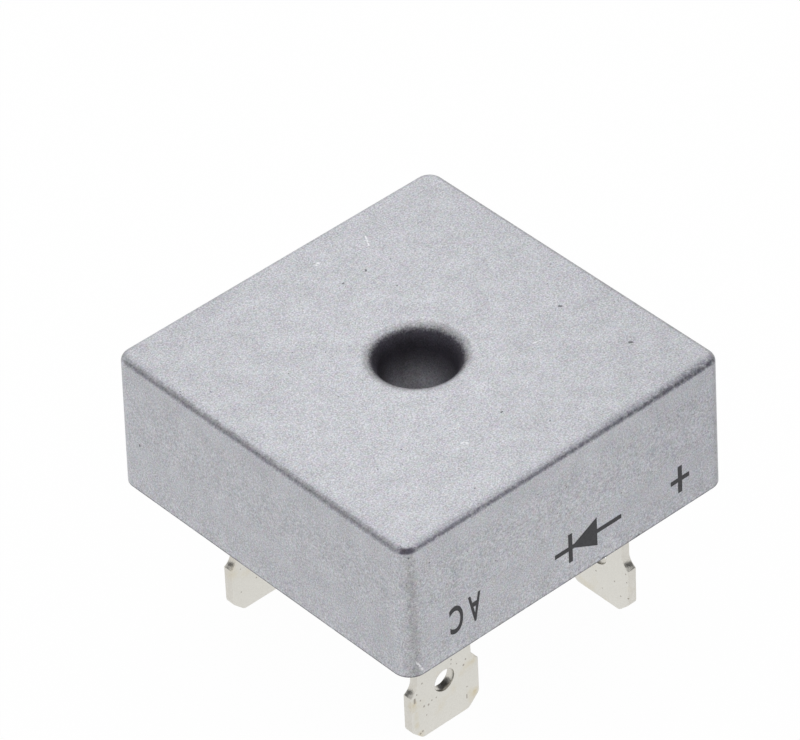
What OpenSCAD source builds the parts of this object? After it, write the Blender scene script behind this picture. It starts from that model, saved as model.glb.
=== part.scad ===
// Square bridge rectifier with four push-on terminals. A deep-drawn aluminium case, with a tube for
// the mounting screw, holds four rectifier chips on an insulated plate and is potted from below.
// It stands on the tips of its terminals, with the heat-sink face up. The origin is on the axis of
// the mounting hole, level with the tips. The marked side faces -Y. All lengths are in millimetres.

/* [Case] */
// Width of the square case at its open rim
case_w = 28.7; // [27.5:0.1:32]
// Height of the case, from the rim to the heat-sink face
case_h = 10.7; // [9.5:0.1:14]
// How far each side wall leans in between the rim and the heat-sink face
case_lean = 0.17; // [0.05:0.01:0.35]
// Radius of the upright corners, at the heat-sink face
corner_r = 1.15; // [0.8:0.05:2.5]
// Radius of the edge round the heat-sink face
edge_r = 0.48; // [0.2:0.02:0.75]
// Thickness of the side walls
wall_t = 0.9; // [0.6:0.05:1.3]
// Thickness of the heat-sink plate
plate_t = 1.5; // [1:0.1:2.2]
// Radius of the upright corners inside the case, at the plate
cavity_r = 1.4; // [0.8:0.1:2.5]

/* [Mounting hole] */
// Diameter of the hole for the mounting screw
hole_d = 5.4; // [4.2:0.1:5.6]
// Radius of the lip where the plate rolls into the hole
lip_r = 1.25; // [0.3:0.05:1.35]
// Wall of the tube drawn down from the plate
tube_t = 0.9; // [0.6:0.05:1.1]

/* [Terminals] */
// How far the terminals stand out of the case
reach = 11.5; // [9.5:0.1:16]
// Width of a push-on tab
tab_w = 6.05; // [5.6:0.05:6.6]
// Thickness of the terminal strip
tab_t = 0.75; // [0.5:0.05:0.9]
// Width of the neck between a tab and its foot
neck_w = 4.8; // [4:0.1:5.2]
// Height of the shoulders above the tip
shoulder_h = 3.96; // [3:0.02:6]
// Radius of the hollow curve between neck and shoulder
flare_r = 1.1; // [0.9:0.05:2]
// Cut-off at each corner of the tip
tip_cut = 0.95; // [0.4:0.05:1.5]
// Radius that softens the two ends of that cut
tip_round = 0.5; // [0.1:0.05:0.7]
// Diameter of the eye in a tab
eye_d = 1.75; // [1:0.05:2.4]
// Height of the middle of the eye above the tip
eye_h = 3.82; // [3:0.02:5]
// Length of the foot that is soldered down
foot_l = 2.7; // [2:0.1:2.9]
// Inner radius of the bend at the foot
bend_r = 0.4; // [0.2:0.05:0.7]

/* [Terminal places] */
// Distance across from the axis to the middle of the AC and minus terminals
blade_x = 6.95; // [6.7:0.05:7.4]
// Distance in from the side of the case, at its rim, to the AC and minus terminals
blade_inset = 5.35; // [5:0.05:6]
// Distance in from the side of the case, at its rim, to the plus terminal, turned a quarter
plus_inset = 4.95; // [4.6:0.05:6]
// Distance along from the axis to the middle of the plus terminal
plus_y = 7.25; // [6.8:0.05:8]

/* [Bridge] */
// Clearance between the square insulating plate and the walls of the case
ceramic_gap = 1; // [0.6:0.05:1.2]
// Thickness of the insulating plate
ceramic_t = 0.8; // [0.4:0.05:1]
// Clearance between the insulating plate and the tube
tube_gap = 0.5; // [0.2:0.05:0.9]
// Distance from the tube to the copper pads
creepage = 1; // [0.6:0.05:1.2]
// Bare border of the insulating plate round the pads
border = 0.4; // [0.1:0.05:0.45]
// Thickness of the copper pads
pad_t = 0.8; // [0.4:0.05:1]
// Side of a rectifier chip
chip_w = 4.2; // [3.6:0.1:4.4]
// Thickness of a rectifier chip
chip_t = 0.3; // [0.2:0.02:0.5]
// Bare border of a pad round its chip
chip_border = 0.5; // [0.3:0.05:0.6]
// Thickness of a solder joint
solder_t = 0.1; // [0.05:0.01:0.2]
// How far a solder joint stays inside the edges of the piece that it holds
solder_edge = 0.1; // [0.05:0.01:0.2]
// Thickness of the jumpers and of the minus bridge
clip_t = 0.6; // [0.4:0.05:0.8]
// Width of a jumper
clip_w = 2.2; // [1.6:0.1:2.4]
// Clearance between a jumper and the blades of the AC terminals
jumper_gap = 0.3; // [0.2:0.05:0.5]
// Width of the arms of the minus bridge
bridge_w = 2.8; // [2:0.1:3.2]

/* [Potting] */
// Depth of the resin below the rim of the case
resin_recess = 0.3; // [0.1:0.05:1]

/* [Hidden] */
$fn = 96;
// Points on each curve of a terminal's outline
curve_steps = 8;
// Overrun of every cut past the face it opens
over = 0.5;

// Levels, counted up from the terminal tips. The bridge is one stack, from the solder under the
// minus bridge up to the plate.
rim_z = reach;
resin_z = rim_z + resin_recess;
stack_h = 3 * solder_t + clip_t + chip_t + pad_t + ceramic_t + plate_t;
bridge_joint_z = rim_z + case_h - stack_h;
clip_z = bridge_joint_z + solder_t;
clip_top_z = clip_z + clip_t;
chip_z = clip_top_z + solder_t;
chip_top_z = chip_z + chip_t;
pad_z = chip_top_z + solder_t;
ceramic_z = pad_z + pad_t;
plate_z = ceramic_z + ceramic_t;
top_z = plate_z + plate_t;
// The raised ends of the jumpers and three of the feet meet their pads where the chips do
pad_joint_z = chip_top_z;

// Case: the corners' axes stand this far out from the middle
lean_a = atan(case_lean / case_h);
case_run = case_w / 2 - case_lean - corner_r;
cavity_run = case_w / 2 - case_lean - wall_t - cavity_r;

// Mounting hole
hole_r = hole_d / 2;
tube_r = hole_r + tube_t;
hub_r = max(tube_r, hole_r + lip_r) + tube_t;

// Plan of the bridge: pads, chips and jumpers lie in a square ring round the tube
pad_in = tube_r + creepage;
ceramic_w = case_w - 2 * (case_lean + wall_t + ceramic_gap);
pad_out = ceramic_w / 2 - border;
pad_end = chip_w / 2 + chip_border;
chip_at = (pad_in + pad_out) / 2;

// Places of the terminals: x, y, angle about Z, and where the foot's upper face sits
blade_y = case_w / 2 - blade_inset;
plus_x = case_w / 2 - plus_inset;
plus_angle = 90;
back_angle = 180;
plus_place = [plus_x, -plus_y, plus_angle, pad_joint_z];
minus_place = [-blade_x, blade_y, 0, bridge_joint_z];
ac_front_place = [-blade_x, -blade_y, 0, pad_joint_z];
ac_back_place = [blade_x, blade_y, back_angle, pad_joint_z];

// The jumpers run, and land on the AC pads, between the tube and the blades
clip_half = clip_w / 2;
jumper_at = blade_y - tab_t / 2 - jumper_gap - clip_half;
landing_in = jumper_at - clip_half;
landing_out = jumper_at + clip_half;

// Points of an arc, from angle a0 to angle a1
function arc(centre, r, a0, a1) = [
    for (i = [0:curve_steps])
        let (a = a0 + (a1 - a0) * i / curve_steps)
        centre + r * [cos(a), sin(a)]
];

function mirrored(points) = [for (i = [len(points) - 1:-1:0]) [-points[i][0], points[i][1]]];

// Block from z0 to z1 on a square with rounded corners. Its section is swept round the square, on
// the +X side of each corner's axis. The four axes stand run out from the middle along X and Y.
module round_square(run, z0, z1) {
    for (q = [0:3]) {
        rotate([0, 0, q * 90]) {
            translate([run, run, 0]) {
                rotate_extrude(angle = 90) children();
                rotate([90, 0, 0]) linear_extrude(2 * run) children();
            }
        }
    }
    translate([0, run, 0])
        rotate([90, 0, 0])
        linear_extrude(2 * run)
        polygon([[-run, z0], [run, z0], [run, z1], [-run, z1]]);
}

module quarter_disc(r) {
    intersection() {
        circle(r);
        square(2 * r);
    }
}

// Section of the solid case from a corner's axis outwards: a leaning wall and a rounded edge
module case_section() {
    foot_x = corner_r + case_lean;
    edge_z = top_z - edge_r;
    edge_x = foot_x - edge_r / cos(lean_a) - (edge_z - rim_z) * tan(lean_a);
    touch = [edge_x, edge_z] + edge_r * [cos(lean_a), sin(lean_a)];
    polygon([[0, rim_z], [foot_x, rim_z], touch, [edge_x, top_z], [0, top_z]]);
    translate([edge_x, edge_z]) quarter_disc(edge_r);
}

module case_block() {
    round_square(case_run, rim_z, top_z) case_section();
}

// Inside of the case between two levels, leaning with the walls
module cavity_block(z0, z1) {
    x0 = cavity_r + case_lean - (z0 - rim_z) * tan(lean_a);
    x1 = cavity_r + case_lean - (z1 - rim_z) * tan(lean_a);
    round_square(cavity_run, z0, z1) polygon([[0, z0], [x0, z0], [x1, z1], [0, z1]]);
}

// Section of the middle of the case: plate and tube, whose shared edge the lip rounds off
module hub_section() {
    lip_z = top_z - lip_r;
    difference() {
        union() {
            translate([hole_r, plate_z]) square([hub_r - hole_r, plate_t]);
            translate([hole_r, rim_z]) square([tube_t, case_h]);
        }
        difference() {
            translate([hole_r - over, lip_z]) square(lip_r + over);
            translate([hole_r + lip_r, lip_z]) circle(lip_r);
        }
    }
}

module case_hub() {
    rotate_extrude() hub_section();
}

module case_shell() {
    color([0.74, 0.74, 0.76]) {
        difference() {
            case_block();
            cavity_block(rim_z - over, plate_z);
            translate([0, 0, plate_z - over]) cylinder(r = hub_r, h = plate_t + 2 * over);
        }
        case_hub();
    }
}

module ceramic_plate() {
    color([0.93, 0.92, 0.88])
    translate([0, 0, ceramic_z])
    difference() {
        translate([-ceramic_w / 2, -ceramic_w / 2, 0]) cube([ceramic_w, ceramic_w, ceramic_t]);
        translate([0, 0, -over]) cylinder(r = tube_r + tube_gap, h = ceramic_t + 2 * over);
    }
}

module pad(outline) {
    color([0.80, 0.50, 0.32])
    translate([0, 0, pad_z])
    linear_extrude(pad_t)
    polygon(outline);
}

// L-shaped: carries the two chips of the plus side and the plus terminal
module plus_pad() {
    pad([
        [-pad_end, -pad_out], [pad_out, -pad_out], [pad_out, pad_end],
        [pad_in, pad_end], [pad_in, -pad_in], [-pad_end, -pad_in]
    ]);
}

module ac_front_pad() {
    pad([[-pad_out, -pad_out], [-pad_in, -pad_out], [-pad_in, pad_end], [-pad_out, pad_end]]);
}

module ac_back_pad() {
    pad([[-pad_end, pad_in], [pad_out, pad_in], [pad_out, pad_out], [-pad_end, pad_out]]);
}

// A flat square about a point of the plan, w wide and t thick, with its lower face at z
module tile(x, y, z, w, t) {
    translate([x - w / 2, y - w / 2, z]) cube([w, w, t]);
}

module chip(x, y) {
    color([0.30, 0.31, 0.35]) tile(x, y, chip_z, chip_w, chip_t);
}

// A square solder joint on a piece w wide, with its lower face at z
module solder(x, y, z, w) {
    color([0.62, 0.63, 0.65]) tile(x, y, z, w - 2 * solder_edge, solder_t);
}

// Solder between a chip and the pad that carries it
module chip_solder(x, y) {
    solder(x, y, chip_top_z, chip_w);
}

module plus_front_chip() {
    chip(0, -chip_at);
}

module plus_right_chip() {
    chip(chip_at, 0);
}

module minus_left_chip() {
    chip(-chip_at, 0);
}

module minus_back_chip() {
    chip(0, chip_at);
}

module plus_front_chip_solder() {
    chip_solder(0, -chip_at);
}

module plus_right_chip_solder() {
    chip_solder(chip_at, 0);
}

module minus_left_chip_solder() {
    chip_solder(-chip_at, 0);
}

module minus_back_chip_solder() {
    chip_solder(0, chip_at);
}

module front_jumper_chip_solder() {
    solder(0, -jumper_at, clip_top_z, clip_w);
}

module back_jumper_chip_solder() {
    solder(jumper_at, 0, clip_top_z, clip_w);
}

module bridge_left_chip_solder() {
    solder(-chip_at, 0, clip_top_z, bridge_w);
}

module bridge_back_chip_solder() {
    solder(0, chip_at, clip_top_z, bridge_w);
}

// Copper strip, cranked up from a chip's lower face to the next pad. It starts at the middle of
// the plan's -Y side and runs along -X.
module jumper() {
    color([0.80, 0.50, 0.32])
    translate([0, -landing_in, 0])
    rotate([90, 0, 0])
    linear_extrude(clip_w)
    polygon([
        [clip_half, clip_top_z], [-pad_end, clip_top_z], [-landing_in, pad_joint_z],
        [-landing_out, pad_joint_z], [-landing_out, pad_joint_z - clip_t],
        [-landing_in, pad_joint_z - clip_t], [-pad_end, clip_z], [clip_half, clip_z]
    ]);
}

// Solder between the raised end of a jumper and its pad
module jumper_pad_solder() {
    solder(-jumper_at, -jumper_at, pad_joint_z, clip_w);
}

// The back jumper is the front one mirrored: from the middle of the +X side, along +Y
module to_back() {
    mirror([1, 1, 0]) children();
}

module front_jumper() {
    jumper();
}

module back_jumper() {
    to_back() jumper();
}

module front_jumper_pad_solder() {
    jumper_pad_solder();
}

module back_jumper_pad_solder() {
    to_back() jumper_pad_solder();
}

// Copper plate that joins the two chips of the minus side and carries the minus terminal
module minus_bridge() {
    arm = bridge_w / 2;
    landing_l = neck_w + 2 * border;
    blade_back_y = blade_y + tab_t / 2;
    color([0.80, 0.50, 0.32])
    translate([0, 0, clip_z])
    linear_extrude(clip_t) {
        translate([-chip_at - arm, -arm]) square([bridge_w, chip_at + bridge_w]);
        translate([-chip_at - arm, chip_at - arm]) square([chip_at + bridge_w, bridge_w]);
        translate([-blade_x - landing_l / 2, chip_at - arm])
            square([landing_l, blade_back_y - chip_at + arm]);
    }
}

// Right half of a terminal's outline below its bend, from the tip at height 0 up: cut corner, tab,
// shoulder, hollow curve and neck
function half_outline(neck_top) = let (
    tab_x = tab_w / 2,
    neck_x = neck_w / 2,
    soft = tip_round * tan(22.5),
    low = [tab_x - tip_cut - soft, tip_round],
    side = [tab_x - tip_round, tip_cut + soft],
    past = tab_x - neck_x - flare_r,
    rise = sqrt(flare_r ^ 2 - past ^ 2)
) concat(
    arc(low, tip_round, -90, -45),
    arc(side, tip_round, -45, 0),
    arc([neck_x + flare_r, shoulder_h + rise], flare_r, -atan2(rise, past), -180),
    [[neck_x, neck_top]]
);

// Stamped strip with its foot bent over. The blade stands on the origin, broad face to +Y and -Y,
// and the foot runs towards -Y with its upper face at seat_z.
module terminal_form(seat_z) {
    half_t = tab_t / 2;
    bend_z = seat_z - tab_t - bend_r;
    neck_x = neck_w / 2;
    outline = half_outline(bend_z);
    difference() {
        translate([0, half_t, 0])
            rotate([90, 0, 0])
            linear_extrude(tab_t)
            polygon(concat(outline, mirrored(outline)));
        translate([0, half_t + over, eye_h])
            rotate([90, 0, 0])
            cylinder(d = eye_d, h = tab_t + 2 * over);
    }
    translate([-neck_x, -half_t - bend_r, bend_z])
        rotate([90, 0, 90])
        linear_extrude(neck_w)
        difference() {
            quarter_disc(bend_r + tab_t);
            circle(bend_r);
        }
    translate([-neck_x, half_t - foot_l, seat_z - tab_t])
        cube([neck_w, foot_l - tab_t - bend_r, tab_t]);
}

module terminal(place) {
    color([0.85, 0.84, 0.80])
    translate([place[0], place[1], 0])
    rotate([0, 0, place[2]])
    terminal_form(place[3]);
}

module foot_solder(place) {
    color([0.62, 0.63, 0.65])
    translate([place[0], place[1], place[3]])
    rotate([0, 0, place[2]])
    translate([-neck_w / 2 + solder_edge, tab_t / 2 - foot_l + solder_edge, 0])
    cube([neck_w - 2 * solder_edge, foot_l - tab_t - bend_r - 2 * solder_edge, solder_t]);
}

module plus_terminal() {
    terminal(plus_place);
}

module minus_terminal() {
    terminal(minus_place);
}

module ac_front_terminal() {
    terminal(ac_front_place);
}

module ac_back_terminal() {
    terminal(ac_back_place);
}

module plus_foot_solder() {
    foot_solder(plus_place);
}

module minus_foot_solder() {
    foot_solder(minus_place);
}

module ac_front_foot_solder() {
    foot_solder(ac_front_place);
}

module ac_back_foot_solder() {
    foot_solder(ac_back_place);
}

// Everything that the resin is poured round
module bridge_assembly() {
    ceramic_plate();
    plus_pad();
    ac_front_pad();
    ac_back_pad();
    plus_front_chip();
    plus_right_chip();
    minus_left_chip();
    minus_back_chip();
    plus_front_chip_solder();
    plus_right_chip_solder();
    minus_left_chip_solder();
    minus_back_chip_solder();
    front_jumper_chip_solder();
    back_jumper_chip_solder();
    bridge_left_chip_solder();
    bridge_back_chip_solder();
    front_jumper();
    back_jumper();
    front_jumper_pad_solder();
    back_jumper_pad_solder();
    minus_bridge();
    plus_terminal();
    minus_terminal();
    ac_front_terminal();
    ac_back_terminal();
    plus_foot_solder();
    minus_foot_solder();
    ac_front_foot_solder();
    ac_back_foot_solder();
}

// Fills the case round the bridge. The ceramic plate is cut out upwards too, because it lies
// against the plate of the case with nothing between them.
module potting_resin() {
    color([0.12, 0.12, 0.13])
    difference() {
        cavity_block(resin_z, plate_z);
        translate([0, 0, resin_z - over]) cylinder(r = tube_r, h = plate_z - resin_z + 2 * over);
        translate([0, 0, ceramic_t / 2]) ceramic_plate();
        bridge_assembly();
    }
}

case_shell();
potting_resin();
ceramic_plate();
plus_pad();
ac_front_pad();
ac_back_pad();
plus_front_chip();
plus_right_chip();
minus_left_chip();
minus_back_chip();
plus_front_chip_solder();
plus_right_chip_solder();
minus_left_chip_solder();
minus_back_chip_solder();
front_jumper_chip_solder();
back_jumper_chip_solder();
bridge_left_chip_solder();
bridge_back_chip_solder();
front_jumper();
back_jumper();
front_jumper_pad_solder();
back_jumper_pad_solder();
minus_bridge();
plus_terminal();
minus_terminal();
ac_front_terminal();
ac_back_terminal();
plus_foot_solder();
minus_foot_solder();
ac_front_foot_solder();
ac_back_foot_solder();
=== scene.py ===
from math import atan2, cos, pi, radians, sin

import bpy
from mathutils import Matrix, Vector


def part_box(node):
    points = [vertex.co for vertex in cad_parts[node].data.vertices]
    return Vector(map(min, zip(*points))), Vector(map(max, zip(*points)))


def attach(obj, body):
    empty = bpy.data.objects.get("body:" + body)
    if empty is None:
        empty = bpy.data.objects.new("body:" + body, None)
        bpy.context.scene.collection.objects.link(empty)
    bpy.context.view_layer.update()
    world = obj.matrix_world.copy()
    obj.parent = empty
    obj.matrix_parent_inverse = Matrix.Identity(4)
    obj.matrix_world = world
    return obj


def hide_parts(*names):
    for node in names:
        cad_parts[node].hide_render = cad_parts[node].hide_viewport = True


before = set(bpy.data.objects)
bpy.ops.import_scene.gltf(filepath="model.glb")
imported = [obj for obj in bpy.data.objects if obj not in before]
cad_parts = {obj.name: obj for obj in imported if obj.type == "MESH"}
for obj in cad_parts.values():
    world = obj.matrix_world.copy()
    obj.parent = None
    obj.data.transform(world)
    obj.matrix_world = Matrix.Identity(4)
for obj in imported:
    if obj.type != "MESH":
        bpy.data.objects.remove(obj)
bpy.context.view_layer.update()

MM = 0.001

# Camera. A long lens looks down on the front corner of the case, from the angle and distance of
# the photograph.
VIEW_AZIMUTH = radians(-40.735)
VIEW_ELEVATION = radians(39.563)
VIEW_ROLL = radians(-2.591)
VIEW_DISTANCE = 424.45 * MM
LENS = 290.56
SENSOR_WIDTH = 36
FRAMING = Vector((-1.1307 * MM, -1.0069 * MM, VIEW_DISTANCE))

case_low, case_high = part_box("case_shell")
face_centre = Vector((0, 0, case_high.z))

bpy.ops.object.select_all(action="DESELECT")
bpy.ops.object.camera_add()
camera = bpy.context.object
camera.data.lens = LENS
camera.data.sensor_width = SENSOR_WIDTH
camera.data.clip_start = 10 * MM
turn = (
    Matrix.Rotation(VIEW_AZIMUTH, 4, "Z")
    @ Matrix.Rotation(pi / 2 - VIEW_ELEVATION, 4, "X")
    @ Matrix.Rotation(VIEW_ROLL, 4, "Z")
)
camera.matrix_world = Matrix.Translation(face_centre + turn.to_3x3() @ FRAMING) @ turn
bpy.context.scene.camera = camera
bpy.context.scene.view_settings.view_transform = "Standard"

# Studio. A white floor under even white light and a soft lamp behind the case. Two dim cards
# that only reflections see draw a dark line along each of its near edges.
FLOOR_SIZE = 4.0
FLOOR_COLOUR = (0.95, 0.95, 0.95, 1)
FLOOR_GLOW = 0.98
WORLD_LEVEL = 0.85
LAMP_SIZE = 0.03
LAMP_POWER = 0.0028
LAMP_PLACE = Vector((0.024, 0.0326, 0.073))
CARD_DISTANCE = 0.20
CARD_GLOW = 0.06
# Name: azimuth of its middle, elevation of its middle, width, height
CARDS = {
    "card_right": (radians(-51.5), radians(22), 0.22, 0.12),
    "card_left": (radians(138.0), radians(22), 0.14, 0.10),
}


def node(tree, kind, **values):
    """Adds a shader node; each value names one of its settings or one of its input sockets."""
    made = tree.nodes.new("ShaderNode" + kind)
    for name, value in values.items():
        if hasattr(made, name):
            setattr(made, name, value)
        else:
            made.inputs[name.replace("_", " ")].default_value = value
    return made


def material(name, **values):
    """New material with a Principled BSDF, whose sockets take the values given."""
    made = bpy.data.materials.new(name)
    made.use_nodes = True
    shader = made.node_tree.nodes["Principled BSDF"]
    for socket, value in values.items():
        shader.inputs[socket.replace("_", " ")].default_value = value
    return made, made.node_tree, shader


def calculate(tree, operation, first, second=0):
    """Output of a Math node whose two inputs are sockets or numbers."""
    made = node(tree, "Math", operation=operation)
    for socket, value in zip(made.inputs, (first, second)):
        if isinstance(value, bpy.types.NodeSocket):
            tree.links.new(value, socket)
        else:
            socket.default_value = value
    return made.outputs["Value"]


def times(tree, first, second):
    """Output that is the product of two sockets or numbers."""
    return calculate(tree, "MULTIPLY", first, second)


def background_ray(tree):
    """Value that is 1 for rays that should see the plain white background."""
    path = node(tree, "LightPath")
    seen = calculate(tree, "MAXIMUM", path.outputs["Is Camera Ray"], path.outputs["Is Glossy Ray"])
    return calculate(tree, "MAXIMUM", seen, path.outputs["Is Transmission Ray"]), path


bpy.ops.mesh.primitive_plane_add(size=FLOOR_SIZE)
floor = bpy.context.object
floor.name = "floor"
bpy.ops.object.mode_set(mode="EDIT")
bpy.ops.mesh.subdivide(number_cuts=3)
bpy.ops.object.mode_set(mode="OBJECT")

floor_material, tree, shader = material("floor_white", Base_Color=FLOOR_COLOUR, Roughness=0.9)
# Rays that see the background take most of the floor as plain white, and the rest keeps the shadow
seen, path = background_ray(tree)
glow = node(tree, "Emission", Color=(1, 1, 1, 1), Strength=1)
lit = node(tree, "MixShader")
tree.links.new(times(tree, seen, FLOOR_GLOW), lit.inputs["Fac"])
tree.links.new(shader.outputs["BSDF"], lit.inputs[1])
tree.links.new(glow.outputs["Emission"], lit.inputs[2])
# From below, the camera looks through the floor
behind = node(tree, "NewGeometry")
clear = node(tree, "BsdfTransparent")
swap = node(tree, "MixShader")
both = times(tree, behind.outputs["Backfacing"], path.outputs["Is Camera Ray"])
tree.links.new(both, swap.inputs["Fac"])
tree.links.new(lit.outputs["Shader"], swap.inputs[1])
tree.links.new(clear.outputs["BSDF"], swap.inputs[2])
tree.links.new(swap.outputs["Shader"], tree.nodes["Material Output"].inputs["Surface"])
floor.data.materials.append(floor_material)

world = bpy.data.worlds.new("studio")
world.use_nodes = True
bpy.context.scene.world = world
tree = world.node_tree
tree.nodes.clear()
seen, path = background_ray(tree)
even = node(tree, "Background", Color=(1, 1, 1, 1), Strength=WORLD_LEVEL)
white = node(tree, "Background", Color=(1, 1, 1, 1), Strength=1)
swap = node(tree, "MixShader")
out = node(tree, "OutputWorld")
tree.links.new(seen, swap.inputs["Fac"])
tree.links.new(even.outputs["Background"], swap.inputs[1])
tree.links.new(white.outputs["Background"], swap.inputs[2])
tree.links.new(swap.outputs["Shader"], out.inputs["Surface"])

bpy.ops.object.light_add(type="AREA", location=LAMP_PLACE)
lamp = bpy.context.object
lamp.data.size = LAMP_SIZE
lamp.data.energy = LAMP_POWER
lamp.visible_camera = False
lamp.rotation_euler = (face_centre - LAMP_PLACE).to_track_quat("-Z", "Y").to_euler()

card_material, tree, shader = material(
    "card_dim", Base_Color=(0, 0, 0, 1), Emission_Color=(1, 1, 1, 1), Emission_Strength=CARD_GLOW
)
for name, (azimuth, elevation, width, height) in CARDS.items():
    aim = Matrix.Rotation(azimuth, 3, "Z") @ Matrix.Rotation(-elevation, 3, "Y")
    outward = aim @ Vector((1, 0, 0))
    bpy.ops.object.select_all(action="DESELECT")
    bpy.ops.mesh.primitive_plane_add(size=1, location=face_centre + outward * CARD_DISTANCE)
    card = bpy.context.object
    card.name = name
    card.scale = (width, height, 1)
    card.rotation_euler = (-outward).to_track_quat("Z", "Y").to_euler()
    card.data.materials.append(card_material)
    card.visible_camera = False
    card.visible_diffuse = False
    card.visible_shadow = False
    card.visible_transmission = False

# Insulating plate. White alumina, pressed and fired, that lies against the inside of the case
# and keeps the copper off it.
ALUMINA_DARK = (0.72, 0.70, 0.65)
ALUMINA_LIGHT = (0.88, 0.87, 0.84)
# Size of the grain's specks, contrast of its tone, and height of its bumps
ALUMINA_GRAIN = (0.06 * MM, 1.2, 0.004 * MM)
FINE_DETAIL = 3
FINE_ROUGHNESS = 0.7
SOFT_DETAIL = 2
CLOUD_SCALE = 0.07
CLOUD_SHARE = 0.12


def new_group(name, inputs, outputs):
    """Empty node group. inputs and outputs map each socket's name to its kind."""
    group = bpy.data.node_groups.new(name, "ShaderNodeTree")
    for in_out, sockets in (("INPUT", inputs), ("OUTPUT", outputs)):
        for socket, kind in sockets.items():
            group.interface.new_socket(socket, in_out=in_out, socket_type="NodeSocket" + kind)
    return group, group.nodes.new("NodeGroupInput").outputs, group.nodes.new("NodeGroupOutput").inputs


def ramp(tree, value, start, end):
    """Output that goes smoothly from 0, where the value is start, to 1, where it is end."""
    made = node(tree, "MapRange", interpolation_type="SMOOTHSTEP", From_Min=start, From_Max=end)
    tree.links.new(value, made.inputs["Value"])
    return made.outputs["Result"]


def grain_group():
    """Node group: Tone swings about 0.5 by Contrast and Height runs 0 to 1, in specks Size wide."""
    group, given, result = new_group(
        "grain", {"Size": "Float", "Contrast": "Float"}, {"Tone": "Float", "Height": "Float"}
    )
    place = node(group, "TexCoord").outputs["Object"]
    fineness = calculate(group, "DIVIDE", 1, given["Size"])
    specks = node(group, "TexNoise", Detail=FINE_DETAIL, Roughness=FINE_ROUGHNESS)
    clouds = node(group, "TexNoise", Detail=SOFT_DETAIL)
    for noise, scale in ((specks, fineness), (clouds, times(group, fineness, CLOUD_SCALE))):
        group.links.new(place, noise.inputs["Vector"])
        group.links.new(scale, noise.inputs["Scale"])
    mixed = node(group, "Mix", data_type="FLOAT")
    mixed.inputs["Factor"].default_value = CLOUD_SHARE
    group.links.new(specks.outputs["Fac"], mixed.inputs["A"])
    group.links.new(clouds.outputs["Fac"], mixed.inputs["B"])
    swing = calculate(group, "SUBTRACT", mixed.outputs["Result"], 0.5)
    swing = times(group, swing, given["Contrast"])
    group.links.new(calculate(group, "ADD", swing, 0.5), result["Tone"])
    group.links.new(specks.outputs["Fac"], result["Height"])
    return group


grain = grain_group()


def grained(name, dark, light, sizes, **values):
    """Material between two colours, whose tone and surface follow a grain of the sizes given."""
    size, contrast, depth = sizes
    made, tree, shader = material(name, **values)
    specks = node(tree, "Group", node_tree=grain, Size=size, Contrast=contrast)
    shade = node(tree, "Mix", data_type="RGBA")
    shade.inputs["A"].default_value = (*dark, 1)
    shade.inputs["B"].default_value = (*light, 1)
    bump = node(tree, "Bump", Distance=depth)
    tree.links.new(specks.outputs["Tone"], shade.inputs["Factor"])
    tree.links.new(shade.outputs["Result"], shader.inputs["Base Color"])
    tree.links.new(specks.outputs["Height"], bump.inputs["Height"])
    tree.links.new(bump.outputs["Normal"], shader.inputs["Normal"])
    return made, tree, shader


def finish(made, *names):
    """Gives the material to CAD nodes that keep their own shape."""
    for name in names:
        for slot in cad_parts[name].material_slots:
            slot.material = made


alumina, *_ = grained("alumina", ALUMINA_DARK, ALUMINA_LIGHT, ALUMINA_GRAIN, Roughness=0.55)
finish(alumina, "ceramic_plate")

# Pads, jumpers and bridge. Copper sheet, rolled and stamped, soldered together under the plate.
# Heat has tarnished it in patches.
COPPER_DARK = (0.55, 0.27, 0.16)
COPPER_LIGHT = (0.90, 0.55, 0.38)
COPPER_GRAIN = (0.12 * MM, 1.8, 0.003 * MM)

copper, *_ = grained(
    "rolled_copper", COPPER_DARK, COPPER_LIGHT, COPPER_GRAIN, Metallic=1, Roughness=0.34
)
finish(copper, "plus_pad", "ac_front_pad", "ac_back_pad", "front_jumper", "back_jumper", "minus_bridge")

# Rectifier chips. Squares of silicon with a sawn edge and a dark glassy coat, each soldered
# between its pad and a jumper or the bridge.
SILICON_DARK = (0.07, 0.075, 0.10)
SILICON_LIGHT = (0.17, 0.175, 0.20)
SILICON_GRAIN = (0.05 * MM, 1.5, 0.001 * MM)

silicon, *_ = grained(
    "silicon", SILICON_DARK, SILICON_LIGHT, SILICON_GRAIN, Metallic=0.4, Roughness=0.22
)
finish(silicon, "plus_front_chip", "plus_right_chip", "minus_left_chip", "minus_back_chip")

# Solder joints. Soft solder in thin layers between the metal pieces, melted, and frozen with a
# frosted skin.
SOLDER_DARK = (0.36, 0.36, 0.39)
SOLDER_LIGHT = (0.66, 0.66, 0.67)
SOLDER_GRAIN = (0.1 * MM, 1.8, 0.006 * MM)

solder, *_ = grained(
    "frosted_solder", SOLDER_DARK, SOLDER_LIGHT, SOLDER_GRAIN, Metallic=1, Roughness=0.42
)
finish(
    solder,
    "plus_front_chip_solder", "plus_right_chip_solder",
    "minus_left_chip_solder", "minus_back_chip_solder",
    "front_jumper_chip_solder", "back_jumper_chip_solder",
    "bridge_left_chip_solder", "bridge_back_chip_solder",
    "front_jumper_pad_solder", "back_jumper_pad_solder",
    "plus_foot_solder", "minus_foot_solder", "ac_front_foot_solder", "ac_back_foot_solder",
)

# Terminals. Brass strip, stamped, tinned all over and bent at the foot. The press has rounded
# their edges a little and left the cut faces duller, and handling has left small dark pits and
# yellow stains.

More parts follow.
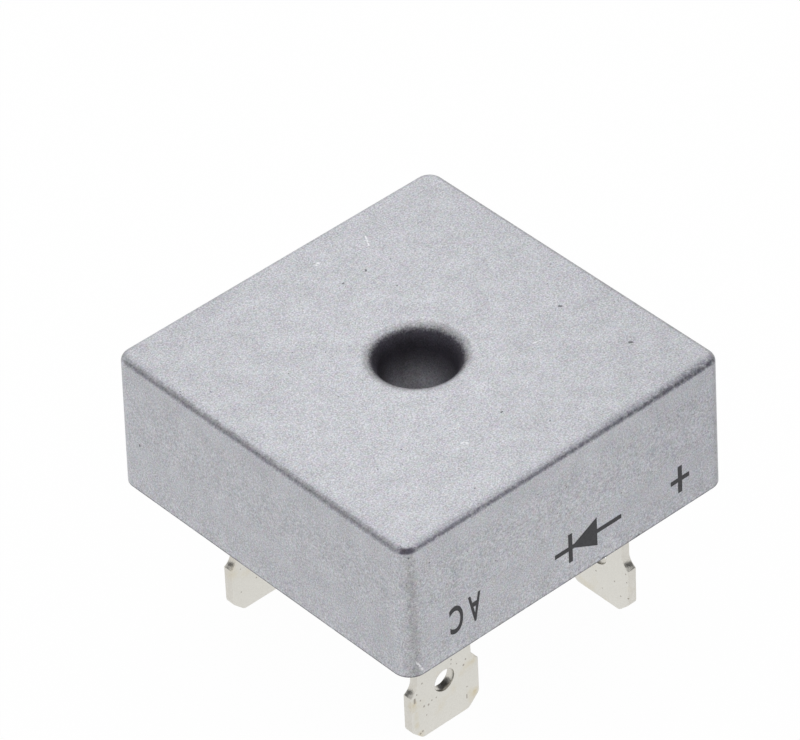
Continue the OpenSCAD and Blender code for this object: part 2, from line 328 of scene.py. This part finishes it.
# Name: axis that its broad faces look along
TERMINALS = {
    "plus_terminal": "X", "minus_terminal": "Y", "ac_front_terminal": "Y", "ac_back_terminal": "Y"
}
STRIP_THICKNESS = 0.75 * MM
STAMPED_EDGE = 0.05 * MM
EDGE_SEGMENTS = 2
MERGE_GAP = 0.001 * MM
FLAT_ANGLE = radians(1)
SHARP_ANGLE = radians(40)
TIN_DARK = (0.61, 0.595, 0.545)
TIN_LIGHT = (0.75, 0.735, 0.69)
TIN_GRAIN = (0.10 * MM, 1.6, 0.003 * MM)
CUT_TINT = (0.91, 0.90, 0.89)
PIT_COLOUR = (0.34, 0.31, 0.27)
PIT_SPACING = 0.7 * MM
PIT_SIZE = 0.16 * MM
EMPTY_CELLS = 0.35
PIT_BLUR = 0.12
# Distance from the middle of a line, in widths, where it starts to show and where it covers
STROKE_BLUR = (0.6, 0.15)
STAIN_COLOUR = (0.92, 0.86, 0.72)
# Part of the normal along the broad faces' axis, where the tone of a cut face starts and is full
CUT_SLOPE = (0.6, 0.4)
# Patches: their size, and the start and end that set how much they cover
CUT_PATCHES = (0.3 * MM, 0.1, 0.6)
STAIN_PATCHES = (1.6 * MM, 0.54, 0.9)
STAIN_BREAKS = (0.5 * MM, 0.2, 0.9)
SHORTEST_MARK = 0.02
# Marks on the front terminal's broad face, in millimetres: how far each is across from its middle
# and up from its tip, how far it runs down, and its width
PITS = (
    (-1.9, 2.7, 0, 0.20), (-1.5, 2.6, 0, 0.20), (-1.2, 2.8, 0, 0.14), (-0.8, 2.8, 0, 0.13),
    (-2.2, 3.4, 0, 0.15), (-2.5, 4.1, 0, 0.14), (-2.7, 3.8, 0.3, 0.22), (-2.0, 4.8, 0, 0.16),
    (1.9, 4.5, 0, 0.16), (1.7, 4.1, 0, 0.20), (1.1, 4.6, 0, 0.12), (0.6, 4.9, 0, 0.12),
    (-2.3, 0.5, 0, 0.18), (-2.1, 0.6, 0, 0.18), (1.9, 1.3, 0.3, 0.12), (-1.7, 1.8, 0, 0.12),
)
STAINS = (
    (2.4, 1.3, 0.5, 1.0), (2.7, 1.3, 0.4, 0.6), (-2.9, 3.5, 0.5, 0.8), (-2.7, 3.4, 0.3, 0.5),
    (2.4, 4.2, 0.2, 0.9), (-2.3, 0.4, 0, 0.8), (-2.6, 2.4, 1.2, 0.5),
)


def tint(tree, mask, colour, blend="MULTIPLY"):
    """Lays a colour over the material's own where the mask is 1."""
    socket = tree.nodes["Principled BSDF"].inputs["Base Color"]
    over = node(tree, "Mix", data_type="RGBA", blend_type=blend)
    over.inputs["B"].default_value = (*colour, 1)
    tree.links.new(mask, over.inputs["Factor"])
    tree.links.new(socket.links[0].from_socket, over.inputs["A"])
    tree.links.new(over.outputs["Result"], socket)


def patches(tree, size, start, end):
    """Mask of cloudy patches about size wide; start and end set how much they cover."""
    noise = node(tree, "TexNoise", Scale=1 / size, Detail=FINE_DETAIL)
    tree.links.new(node(tree, "TexCoord").outputs["Object"], noise.inputs["Vector"])
    return ramp(tree, noise.outputs["Fac"], start, end)


def pits_group():
    """Node group: Mask is 1 in pits up to Size wide, at most one to each cell of Spacing."""
    group, given, result = new_group("pits", {"Spacing": "Float", "Size": "Float"}, {"Mask": "Float"})
    cells = node(group, "TexVoronoi")
    group.links.new(node(group, "TexCoord").outputs["Object"], cells.inputs["Vector"])
    group.links.new(calculate(group, "DIVIDE", 1, given["Spacing"]), cells.inputs["Scale"])
    parts = node(group, "SeparateColor")
    group.links.new(cells.outputs["Color"], parts.inputs["Color"])
    radius = times(group, ramp(group, parts.outputs["Red"], EMPTY_CELLS, 1), given["Size"])
    radius = times(group, radius, 0.5)
    away = times(group, cells.outputs["Distance"], given["Spacing"])
    inside = calculate(group, "SUBTRACT", radius, away)
    inside = calculate(group, "DIVIDE", inside, given["Size"])
    group.links.new(ramp(group, inside, 0, PIT_BLUR), result["Mask"])
    return group


pits = pits_group()


def select_only(piece):
    """Makes the piece the only one selected, and the active one."""
    bpy.ops.object.select_all(action="DESELECT")
    piece.select_set(True)
    bpy.context.view_layer.objects.active = piece


def modify(piece, kind, **settings):
    """Gives the active piece a modifier with the settings, and applies it."""
    bpy.ops.object.modifier_add(type=kind)
    modifier = piece.modifiers[-1]
    for name, value in settings.items():
        setattr(modifier, name, value)
    bpy.ops.object.modifier_apply(modifier=modifier.name)


def softened(name, edge):
    """Copy of a CAD node with its sharp edges rounded off, which stands for the node."""
    select_only(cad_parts[name])
    bpy.ops.object.duplicate()
    piece = bpy.context.object
    piece.name = "stamped_" + name
    bpy.ops.object.mode_set(mode="EDIT")
    bpy.ops.mesh.select_all(action="SELECT")
    bpy.ops.mesh.remove_doubles(threshold=MERGE_GAP)
    bpy.ops.mesh.dissolve_limited(angle_limit=FLAT_ANGLE)
    bpy.ops.object.mode_set(mode="OBJECT")
    modify(piece, "BEVEL", width=edge, segments=EDGE_SEGMENTS, angle_limit=SHARP_ANGLE)
    bpy.ops.object.shade_smooth_by_angle(angle=SHARP_ANGLE)
    modify(piece, "WEIGHTED_NORMAL", keep_sharp=True)
    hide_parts(name)
    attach(piece, "root")
    return piece


def stroke_group():
    """Node group: Mask is 1 along the line from one point to the other, Width wide."""
    group, given, result = new_group(
        "stroke", {"Start": "Vector", "End": "Vector", "Width": "Float"}, {"Mask": "Float"}
    )

    def vectors(operation, first, second, output="Vector"):
        made = node(group, "VectorMath", operation=operation)
        group.links.new(first, made.inputs[0])
        group.links.new(second, made.inputs["Scale" if operation == "SCALE" else 1])
        return made.outputs[output]

    place = node(group, "TexCoord").outputs["Object"]
    along = vectors("SUBTRACT", given["End"], given["Start"])
    reach = vectors("SUBTRACT", place, given["Start"])
    share = calculate(
        group, "DIVIDE", vectors("DOT_PRODUCT", reach, along, "Value"),
        vectors("DOT_PRODUCT", along, along, "Value"),
    )
    held = node(group, "Clamp")
    group.links.new(share, held.inputs["Value"])
    nearest = vectors("SCALE", along, held.outputs["Result"])
    away = vectors("DISTANCE", reach, nearest, "Value")
    line = ramp(group, calculate(group, "DIVIDE", away, given["Width"]), *STROKE_BLUR)
    group.links.new(line, result["Mask"])
    return group


stroke = stroke_group()


def draw(tree, lines, colour, blend="MIX", cover=None):
    """Lays each line of a list over the material's own colour, where cover, if given, is 1."""
    for start, end, width in lines:
        line = node(
            tree, "Group", node_tree=stroke,
            Start=Vector(start) * MM, End=Vector(end) * MM, Width=width * MM,
        )
        mask = line.outputs["Mask"]
        if cover:
            mask = times(tree, mask, cover)
        tint(tree, mask, colour, blend)


def on_front_terminal(marks):
    """Lines for draw, from a list of marks on the front terminal."""
    low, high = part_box("ac_front_terminal")
    middle = (low.x + high.x) / 2 / MM
    face = (high.y - STRIP_THICKNESS) / MM
    lines = []
    for across, up, drop, width in marks:
        start = (middle + across, face, up)
        end = (middle + across, face, up - max(drop, SHORTEST_MARK))
        lines.append((start, end, width))
    return lines


def tinned_brass(name, broad):
    """Tinned brass for strips whose broad faces look along the axis broad."""
    made, tree, _ = grained(name, TIN_DARK, TIN_LIGHT, TIN_GRAIN, Metallic=1, Roughness=0.28)
    facing = node(tree, "SeparateXYZ")
    tree.links.new(node(tree, "TexCoord").outputs["Normal"], facing.inputs["Vector"])
    cut = ramp(tree, calculate(tree, "ABSOLUTE", facing.outputs[broad]), *CUT_SLOPE)
    tint(tree, times(tree, cut, patches(tree, *CUT_PATCHES)), CUT_TINT)
    tint(tree, patches(tree, *STAIN_PATCHES), STAIN_COLOUR)
    marks = node(tree, "Group", node_tree=pits, Spacing=PIT_SPACING, Size=PIT_SIZE)
    tint(tree, marks.outputs["Mask"], PIT_COLOUR, "MIX")
    return made


tinned = {"X": tinned_brass("tinned_brass_turned", "X"), "Y": tinned_brass("tinned_brass", "Y")}
tree = tinned["Y"].node_tree
draw(tree, on_front_terminal(STAINS), STAIN_COLOUR, "MULTIPLY", patches(tree, *STAIN_BREAKS))
draw(tree, on_front_terminal(PITS), PIT_COLOUR)
for name, broad in TERMINALS.items():
    for slot in softened(name, STAMPED_EDGE).material_slots:
        slot.material = tinned[broad]

# Case. Aluminium sheet, deep drawn with the tube for the screw in one piece, then blasted to a
# fine matt grain. Handling has left a few scratches, specks, and dirt on the rim. Painted shade
# darkens two of its edges and the corner between them, its upright corners, one end of a wall and
# the hole.
METAL_DARK = (0.255, 0.255, 0.275)
METAL_LIGHT = (0.74, 0.75, 0.79)
METAL_GRAIN = (0.11 * MM, 2.3, 0.007 * MM)
METAL_ROUGHNESS = 0.48
# Roughness in the hole below its lip, where its painted shade lies
HOLE_SHADE_ROUGHNESS = 0.75
HUE_SIZE = 0.3 * MM
HUE_SHARE = 0.12
HOLE_RADIUS = 2.7 * MM
HOLE_LIP = 1.25 * MM
# All but the rim's tint below are painted shade and dark reflections, laid on the edges, the corners,
# one end of a wall and the hole
EDGE_SHADE_TINT = (0.64, 0.625, 0.68)
MARGIN_SHADE_TINT = (0.90, 0.90, 0.915)
BAND_SHADE_TINT = (0.84, 0.84, 0.85)
RIM_TINT = (0.45, 0.44, 0.45)
BORE_SHADE_TINT = (0.86, 0.84, 0.86)
HOLE_SHADE_TINT = (0.20, 0.19, 0.22)
UPRIGHT_SHADE_TINT = (0.77, 0.765, 0.75)
NEAR_CORNER_SHADE_TINT = (0.34, 0.32, 0.35)
END_SHADE_TINT = (0.91, 0.91, 0.92)
PINHOLE_COLOUR = (0.14, 0.14, 0.15)
PINHOLE_SPACING = 0.8 * MM
PINHOLE_SIZE = 0.13 * MM
BRIGHT_MARK = (0.76, 0.76, 0.78)
EDGE_PATCHES = (0.25 * MM, 0.22, 0.6)
CORNER_PATCHES = (0.4 * MM, 0.15, 0.6)
RIM_PATCHES = (0.3 * MM, 0.2, 0.5)
HOLE_PATCHES = (0.16 * MM, 0.2, 0.8)
SCRATCH_PATCHES = (0.25 * MM, 0.38, 0.55)
# Each pair below is where a mask starts and where it is full. The edge and the margin count from
# the near walls, the rim from its lowest point, the painted shade in the hole from the heat-sink
# face, and the painted shade at one end of a wall from the middle. The hole counts from its radius,
# in shares of its lip.
EDGE_REACH = (2.4 * MM, 1.6 * MM)
MARGIN_REACH = (1.1 * MM, 0.6 * MM)
RIM_REACH = (0.14 * MM, 0.04 * MM)
HOLE_SHADE_REACH = (4.5 * MM, 1.5 * MM)
END_SHADE_REACH = (1 * MM, 11 * MM)
HOLE_SHARES = (0.58, 0.18)
HOLE_RAGGED = 0.18 * MM
# These pairs are parts of the surface's normal, and set where the painted shade lies
NEAR_SLOPE = (0, -0.25)
MORE_SHADED_SLOPE = (0.3, -0.2)
EDGE_SLOPES = ((0.15, 0.5), (0.94, 0.76))
MARGIN_SLOPE = (0.8, 0.95)
NEAR_CORNER_SHADE_TURN = radians(34)
NEAR_CORNER_SHADE_SPREAD = (0.84, 0.97)
NEAR_CORNER_SHADE_SLOPES = ((0.15, 0.5), (0.975, 0.85))
END_SHADE_SLOPE = (-0.8, -0.95)
UPRIGHT_SHADE_SLOPES = ((0.04, 0.36), (1, 0.5))
# Marks on the heat-sink face and on the walls, which lean in a little: ends and width of each,
# in millimetres
LEAN_IN = 0.05
TOP = case_high.z / MM
LEFT = case_low.x / MM + LEAN_IN
FRONT = case_low.y / MM + LEAN_IN
BRIGHT_SCRATCHES = (
    ((1.6, 11.7, TOP), (1.8, 11.8, TOP), 0.26),
    ((6.0, 11.7, TOP), (5.5, 10.8, TOP), 0.14),
    ((6.2, -4.5, TOP), (7.1, -4.7, TOP), 0.14),
    ((-6.5, -6.5, TOP), (-6.3, -6.7, TOP), 0.12),
    ((-5.9, -7.1, TOP), (-5.8, -7.2, TOP), 0.12),
    ((-4.9, -7.9, TOP), (-4.8, -8.0, TOP), 0.14),
    ((-4.0, -8.7, TOP), (-3.8, -8.9, TOP), 0.26),
    ((-13.7, FRONT, 13.0), (-13.0, FRONT, 11.7), 0.22),
)
# Painted shade that widens the dark line along the edge that faces -Y towards one end
EDGE_SHADE_BANDS = (
    ((0.0, FRONT + 0.2, TOP), (13.9, FRONT + 0.2, TOP), 0.7),
    ((4.0, FRONT + 0.4, TOP), (13.9, FRONT + 0.4, TOP), 0.8),
    ((9.0, FRONT + 0.3, TOP), (13.9, FRONT + 0.3, TOP), 0.8),
    ((11.0, FRONT + 0.5, TOP), (13.9, FRONT + 0.5, TOP), 1.0),
)
DARK_SPECKS = (
    ((10.1, -2.9, TOP), (10.2, -3.0, TOP), 0.22),
    ((10.8, -8.9, TOP), (10.9, -9.0, TOP), 0.26),
    ((-0.1, -8.2, TOP), (0.0, -8.2, TOP), 0.16),
    ((3.6, 9.0, TOP), (3.5, 8.9, TOP), 0.16),
    ((1.6, 9.0, TOP), (1.5, 9.0, TOP), 0.16),
    ((LEFT, 12.0, 15.7), (LEFT, 12.0, 15.6), 0.18),
    ((5.9, FRONT, 11.5), (6.2, FRONT, 11.6), 0.24),
    ((2.9, FRONT, 11.6), (3.3, FRONT, 11.5), 0.22),
)


def band(tree, value, rise, fall):
    """Output that is 1 between two ranges, over which it comes and goes."""
    return times(tree, ramp(tree, value, *rise), ramp(tree, value, *fall))


blasted, tree, shader = grained(
    "blasted_aluminium", METAL_DARK, METAL_LIGHT, METAL_GRAIN, Metallic=0.9
)
# The specks are faintly blue and yellow
hues = node(tree, "TexNoise", Scale=1 / HUE_SIZE, Detail=SOFT_DETAIL)
tree.links.new(node(tree, "TexCoord").outputs["Object"], hues.inputs["Vector"])
hued = node(tree, "Mix", data_type="RGBA", blend_type="OVERLAY")
hued.inputs["Factor"].default_value = HUE_SHARE
tree.links.new(shader.inputs["Base Color"].links[0].from_socket, hued.inputs["A"])
tree.links.new(hues.outputs["Color"], hued.inputs["B"])
tree.links.new(hued.outputs["Result"], shader.inputs["Base Color"])

place = node(tree, "SeparateXYZ")
facing = node(tree, "SeparateXYZ")
texture = node(tree, "TexCoord")
tree.links.new(texture.outputs["Object"], place.inputs["Vector"])
tree.links.new(texture.outputs["Normal"], facing.inputs["Vector"])
height = place.outputs["Z"]
up = facing.outputs["Z"]
# Painted dark reflection on the rounded edges that face -X and, darker, -Y, with a narrow margin
# of the heat-sink face in painted shade
aside = calculate(tree, "ADD", facing.outputs["X"], facing.outputs["Y"])
nearest = calculate(tree, "MINIMUM", place.outputs["X"], place.outputs["Y"])
inward = calculate(tree, "SUBTRACT", nearest, case_low.x)
outer = times(tree, ramp(tree, inward, *EDGE_REACH), ramp(tree, aside, *NEAR_SLOPE))
edge_shade = times(tree, band(tree, up, *EDGE_SLOPES), patches(tree, *EDGE_PATCHES))
edge_shade = times(tree, edge_shade, ramp(tree, facing.outputs["Y"], *MORE_SHADED_SLOPE))
tint(tree, times(tree, edge_shade, outer), EDGE_SHADE_TINT)
margin = times(tree, ramp(tree, inward, *MARGIN_REACH), ramp(tree, up, *MARGIN_SLOPE))
tint(tree, margin, MARGIN_SHADE_TINT)
# Painted dark reflection on the corner between them, darkest where its normal is turned from -Y by
# the turn given above
flat = calculate(tree, "SUBTRACT", 1, calculate(tree, "POWER", up, 2))
flat = calculate(tree, "SQRT", flat)
toward_x = times(tree, facing.outputs["X"], -sin(NEAR_CORNER_SHADE_TURN))
toward_y = times(tree, facing.outputs["Y"], -cos(NEAR_CORNER_SHADE_TURN))
toward = calculate(tree, "DIVIDE", calculate(tree, "ADD", toward_x, toward_y), flat)
near_corner_shade = times(tree, ramp(tree, toward, *NEAR_CORNER_SHADE_SPREAD), outer)
tint(tree, times(tree, near_corner_shade, band(tree, up, *NEAR_CORNER_SHADE_SLOPES)), NEAR_CORNER_SHADE_TINT)
# Painted shade: the wall that faces -Y is darker towards one end
end_shade = ramp(tree, place.outputs["X"], *END_SHADE_REACH)
tint(tree, times(tree, end_shade, ramp(tree, facing.outputs["Y"], *END_SHADE_SLOPE)), END_SHADE_TINT)
# Painted shade on the upright corners, mottled brown
corner = band(tree, calculate(tree, "ABSOLUTE", facing.outputs["X"]), *UPRIGHT_SHADE_SLOPES)
tint(tree, times(tree, corner, patches(tree, *CORNER_PATCHES)), UPRIGHT_SHADE_TINT)
# The trimmed rim
rim = ramp(tree, calculate(tree, "SUBTRACT", height, case_low.z), *RIM_REACH)
tint(tree, times(tree, rim, patches(tree, *RIM_PATCHES)), RIM_TINT)
# Painted shade in the hole, darkest below its lip
out_x = calculate(tree, "POWER", place.outputs["X"], 2)
out_y = calculate(tree, "POWER", place.outputs["Y"], 2)
out = calculate(tree, "SQRT", calculate(tree, "ADD", out_x, out_y))
ragged = times(tree, patches(tree, *HOLE_PATCHES), HOLE_RAGGED)
out = calculate(tree, "ADD", out, calculate(tree, "SUBTRACT", ragged, HOLE_RAGGED / 2))
bore = ramp(tree, out, *(HOLE_RADIUS + share * HOLE_LIP for share in HOLE_SHARES))
tint(tree, bore, BORE_SHADE_TINT)
depth = calculate(tree, "SUBTRACT", case_high.z, height)
hole_shade = times(tree, bore, ramp(tree, depth, *HOLE_SHADE_REACH))
tint(tree, hole_shade, HOLE_SHADE_TINT)
matt = times(tree, hole_shade, HOLE_SHADE_ROUGHNESS - METAL_ROUGHNESS)
tree.links.new(calculate(tree, "ADD", METAL_ROUGHNESS, matt), shader.inputs["Roughness"])

pinholes = node(tree, "Group", node_tree=pits, Spacing=PINHOLE_SPACING, Size=PINHOLE_SIZE)
tint(tree, pinholes.outputs["Mask"], PINHOLE_COLOUR, "MIX")
# Painted shade along the edge that faces -Y
draw(tree, EDGE_SHADE_BANDS, BAND_SHADE_TINT, "MULTIPLY", patches(tree, *EDGE_PATCHES))
draw(tree, BRIGHT_SCRATCHES, BRIGHT_MARK, cover=patches(tree, *SCRATCH_PATCHES))
draw(tree, DARK_SPECKS, PINHOLE_COLOUR)
finish(blasted, "case_shell")

# Potting resin. Black filled epoxy, poured in last and cured with a dull skin and a few burst
# bubbles.
RESIN_DARK = (0.010, 0.010, 0.011)
RESIN_LIGHT = (0.030, 0.030, 0.032)
RESIN_GRAIN = (0.2 * MM, 2.0, 0.015 * MM)
BUBBLE_COLOUR = (0.075, 0.075, 0.08)
BUBBLE_SPACING = 2.6 * MM
BUBBLE_SIZE = 0.35 * MM

resin, tree, _ = grained("black_epoxy", RESIN_DARK, RESIN_LIGHT, RESIN_GRAIN, Roughness=0.5)
bubbles = node(tree, "Group", node_tree=pits, Spacing=BUBBLE_SPACING, Size=BUBBLE_SIZE)
tint(tree, bubbles.outputs["Mask"], BUBBLE_COLOUR, "MIX")
finish(resin, "potting_resin")

# Terminal marks. Black ink, pad-printed on the -Y wall before potting, upside down when the part
# stands on its terminals. Heights are counted up from the rim.
INK_COLOUR = (0.008, 0.008, 0.010)
INK_THIN = (0.045, 0.044, 0.05)
INK_GRAIN = (0.15 * MM, 1.6, 0.004 * MM)
INK_DEPTH = 0.012 * MM
CASE_LEAN = 0.17 * MM
WALL_LEAN = atan2(CASE_LEAN, case_high.z - case_low.z)
PLUS_PLACE = (10.07 * MM, 2.58 * MM)
PLUS_SIZE = (1.7 * MM, 2.25 * MM)
PLUS_STROKE = 0.38 * MM
LETTER_HEIGHT = 2.3 * MM
LETTER_RISE = 2.81 * MM
# Letter: place of its middle across, and width
LETTERS = {"A": (-8.42 * MM, 1.1 * MM), "C": (-10.03 * MM, 1.17 * MM)}
SIGN_PLACE = (1.7 * MM, 2.65 * MM)
SIGN_SIZE = (6.0 * MM, 2.4 * MM)
SIGN_STROKE = 0.36 * MM
LETTER_WEIGHT = 0.02

ink, *_ = grained("black_ink", INK_COLOUR, INK_THIN, INK_GRAIN, Roughness=0.6)


def wall_matrix(across, height):
    """Place on the -Y wall: local X runs to -X, local Y down the wall and local Z out of it."""
    down = Vector((0, -sin(WALL_LEAN), -cos(WALL_LEAN)))
    outward = Vector((0, -cos(WALL_LEAN), sin(WALL_LEAN)))
    turn = Matrix((Vector((-1, 0, 0)), down, outward)).transposed().to_4x4()
    back = height * sin(WALL_LEAN) / cos(WALL_LEAN)
    return Matrix.Translation((across, case_low.y + back, case_low.z + height)) @ turn


def print_on_wall(piece, across, height, name):
    """Moves a flat piece, modelled about the origin, on to the wall as a film of ink."""
    select_only(piece)
    piece.matrix_world = wall_matrix(across, height)
    bpy.ops.object.transform_apply(location=True, rotation=True, scale=True)
    piece.name = name
    piece.data.materials.clear()
    piece.data.materials.append(ink)
    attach(piece, "root")


def bar(width, height, corners=4):
    """Flat bar, or a flat disc with that many corners, INK_DEPTH thick on the origin."""
    bpy.ops.object.select_all(action="DESELECT")
    bpy.ops.mesh.primitive_cylinder_add(
        vertices=corners, radius=0.5, depth=INK_DEPTH, rotation=(0, 0, pi / 2 - pi / corners)
    )
    piece = bpy.context.object
    bpy.ops.object.transform_apply(location=True, rotation=True, scale=True)
    piece.scale = (width / piece.dimensions.x, height / piece.dimensions.y, 1)
    bpy.ops.object.transform_apply(location=True, rotation=True, scale=True)
    return piece


def unite(piece, other):
    """Boolean union of the two pieces, kept in the first."""
    select_only(piece)
    modify(piece, "BOOLEAN", operation="UNION", object=other)
    bpy.data.objects.remove(other)
    return piece


plus_sign = unite(bar(PLUS_SIZE[0], PLUS_STROKE), bar(PLUS_STROKE, PLUS_SIZE[1]))
print_on_wall(plus_sign, *PLUS_PLACE, "ink_plus")

for text, (across, width) in LETTERS.items():
    bpy.ops.object.select_all(action="DESELECT")
    bpy.ops.object.text_add()
    letter = bpy.context.object
    letter.data.body = text
    letter.data.extrude = INK_DEPTH / 2
    letter.data.offset = LETTER_WEIGHT
    bpy.ops.object.convert(target="MESH")
    letter = bpy.context.object
    bpy.ops.object.origin_set(type="ORIGIN_GEOMETRY", center="BOUNDS")
    letter.location = (0, 0, 0)
    letter.scale = (width / letter.dimensions.x, LETTER_HEIGHT / letter.dimensions.y, 1)
    bpy.ops.object.transform_apply(location=True, rotation=True, scale=True)
    print_on_wall(letter, across, LETTER_RISE, "ink_" + text)

# A diode's sign: a triangle against a bar, on a line
triangle = bar(SIGN_SIZE[1], SIGN_SIZE[1], corners=3)
sign = unite(bar(SIGN_SIZE[0], SIGN_STROKE), triangle)
cathode = bar(SIGN_STROKE, SIGN_SIZE[1])
inner = (vertex.co.x for vertex in sign.data.vertices if abs(vertex.co.y) < SIGN_STROKE / 4)
cathode.location.x = max(inner)
sign = unite(sign, cathode)
print_on_wall(sign, *SIGN_PLACE, "ink_diode_sign")
